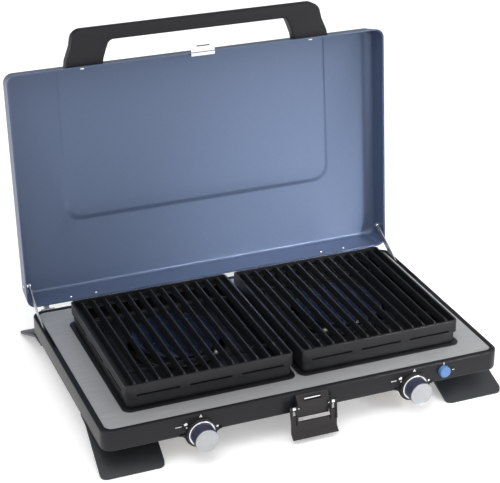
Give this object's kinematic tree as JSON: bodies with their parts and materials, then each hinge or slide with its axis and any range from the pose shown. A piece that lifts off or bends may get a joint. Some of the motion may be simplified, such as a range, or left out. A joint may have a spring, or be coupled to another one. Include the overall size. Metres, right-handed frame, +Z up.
{
  "type": "camping stove",
  "caption": "Table-top gas camping stove: shallow case on splayed feet, burners in drip pans under ridged grates, knobs and latch in front, folding lid with a carry handle.",
  "frame": {"origin": "on the ground, at the middle of the bounding box of the stove with its lid open", "axes": "+X to the user's right along the case's width (the longest extent), +Y to the back, where the gas inlet points, +Z up"},
  "size_m": [0.55, 0.4332, 0.433],
  "materials": {
    "case_paint": "semi-gloss black paint",
    "bottom_steel": "dark paint",
    "worktop_steel": "fine brushed, satin",
    "enamel": "gloss black enamel",
    "burner_alloy": "cast, satin",
    "cap_enamel": "blue-black enamel",
    "brass": "turned, satin",
    "plated_steel": "zinc plated",
    "bright_steel": "bright",
    "ceramic": "glazed",
    "lead_silicone": "matt",
    "knob_plastic": "fine texture",
    "knob_face": "silver lacquer",
    "black_plastic": "fine texture",
    "button_plastic": "smooth blue",
    "igniter_plastic": "smooth",
    "lid_paint": "metallic blue-grey paint",
    "handle_plastic": "fine texture",
    "foot_plastic": "fine texture"
  },
  "bodies": {
    "case": {"case_shell": "case_paint", "bottom_plate": "bottom_steel", "worktop_panel": "worktop_steel", "burner_body_left": "burner_alloy", "burner_body_right": "burner_alloy", "burner_cap_left": "cap_enamel", "burner_cap_right": "cap_enamel", "mixer_left": "plated_steel", "mixer_right": "plated_steel", "jets": "brass", "valve_left": "brass", "valve_right": "brass", "gas_rail": "brass", "inlet_fitting": "brass", "electrodes": "ceramic", "ignition_leads": "lead_silicone", "bezels": "black_plastic", "igniter_body": "igniter_plastic", "latch_plate": "case_paint", "latch_pins": "bright_steel", "hinge_case_leaves": "plated_steel", "hinge_pins": "bright_steel", "foot_front_left": "foot_plastic", "foot_front_right": "foot_plastic", "foot_back_left": "foot_plastic", "foot_back_right": "foot_plastic", "foot_screws": "plated_steel", "bottom_screws": "plated_steel"},
    "lid": {"lid_shell": "lid_paint", "lid_keeper": "bright_steel", "handle": "handle_plastic", "handle_screws": "bright_steel", "hinge_lid_leaves": "plated_steel", "stay_rivets": "bright_steel"},
    "stay_l": {"stay_left": "plated_steel"},
    "stay_r": {"stay_right": "plated_steel"},
    "lever": {"latch_lever": "case_paint"},
    "knob_l": {"knob_grip_left": "knob_plastic", "knob_cap_left": "knob_face", "knob_ring_left": "bright_steel", "stem_left": "bright_steel"},
    "knob_r": {"knob_grip_right": "knob_plastic", "knob_cap_right": "knob_face", "knob_ring_right": "bright_steel", "stem_right": "bright_steel"},
    "button": {"igniter_button": "button_plastic"},
    "pan_l": {"pan_left": "enamel"},
    "pan_r": {"pan_right": "enamel"},
    "grate_l": {"grate_left": "enamel"},
    "grate_r": {"grate_right": "enamel"}
  },
  "joints": [
    {"name": "lid_hinge", "type": "hinge", "parent": "case", "child": "lid", "pos_m": [0, 0.14004, 0.0576], "axis": [1, 0, 0], "range_deg": [0, 95.7]},
    {"name": "stay_pivot_left", "type": "hinge", "parent": "lid", "child": "stay_l", "pos_m": [0, 0.16113, 0.08866], "axis": [1, 0, 0], "range_deg": [-106, 0]},
    {"name": "stay_pivot_right", "type": "hinge", "parent": "lid", "child": "stay_r", "pos_m": [0, 0.16113, 0.08866], "axis": [1, 0, 0], "range_deg": [-106, 0]},
    {"name": "latch_pivot", "type": "hinge", "parent": "case", "child": "lever", "pos_m": [0, -0.20326, 0.045], "axis": [-1, 0, 0], "range_deg": [0, 100]},
    {"name": "knob_turn_left", "type": "hinge", "parent": "case", "child": "knob_l", "pos_m": [-0.1455, -0.19376, 0.035], "axis": [0, -1, 0], "range_deg": [0, 180]},
    {"name": "knob_turn_right", "type": "hinge", "parent": "case", "child": "knob_r", "pos_m": [0.1455, -0.19376, 0.035], "axis": [0, -1, 0], "range_deg": [0, 180]},
    {"name": "igniter_press", "type": "slide", "parent": "case", "child": "button", "axis": [0, 1, 0], "range_m": [0, 0.004], "stiffness_N_per_m": 300},
    {"name": "pan_lift_left", "type": "slide", "parent": "case", "child": "pan_l", "axis": [0, 0, -1], "range_m": [-0.05, 0]},
    {"name": "pan_lift_right", "type": "slide", "parent": "case", "child": "pan_r", "axis": [0, 0, -1], "range_m": [-0.05, 0]},
    {"name": "grate_lift_left", "type": "slide", "parent": "pan_l", "child": "grate_l", "axis": [0, 0, -1], "range_m": [-0.06, 0]},
    {"name": "grate_lift_right", "type": "slide", "parent": "pan_r", "child": "grate_r", "axis": [0, 0, -1], "range_m": [-0.06, 0]}
  ],
  "couplings": [
    {"joint": "stay_pivot_left", "follows": "lid_hinge", "ratio": -1.096},
    {"joint": "stay_pivot_right", "follows": "lid_hinge", "ratio": -1.096}
  ]
}
